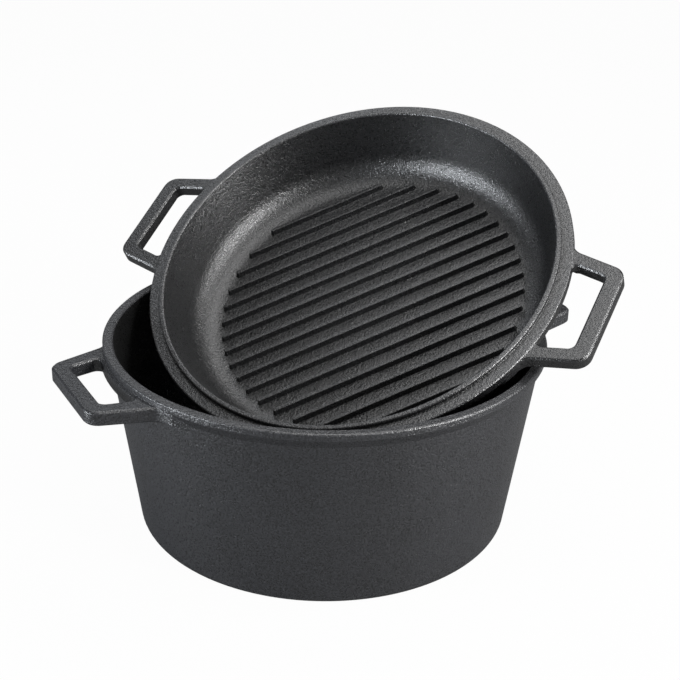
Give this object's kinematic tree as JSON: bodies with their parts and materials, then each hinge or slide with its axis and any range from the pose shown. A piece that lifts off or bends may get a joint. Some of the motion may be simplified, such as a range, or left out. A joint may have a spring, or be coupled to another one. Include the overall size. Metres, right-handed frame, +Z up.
{
  "type": "double dutch oven",
  "caption": "Deep cast-iron cooking pot with loop handles and a shallow ridged skillet lid propped open on its rim.",
  "frame": {"origin": "centre of the pot's flat base", "axes": "+Z up; X runs through the pot's two handles; the lid's raised edge is towards +X +Y"},
  "size_m": [0.3152, 0.2949, 0.2164],
  "materials": {
    "dutch_oven_pot": "matt seasoned sand-cast surface",
    "grill_skillet_lid": "matt seasoned sand-cast surface"
  },
  "bodies": {
    "pot": {"dutch_oven_pot": "dutch_oven_pot"},
    "lid": {"grill_skillet_lid": "grill_skillet_lid"}
  },
  "joints": [
    {"name": "lid_lift", "type": "slide", "parent": "pot", "child": "lid", "axis": [0, 0, 1], "range_m": [0, 0.12]}
  ]
}
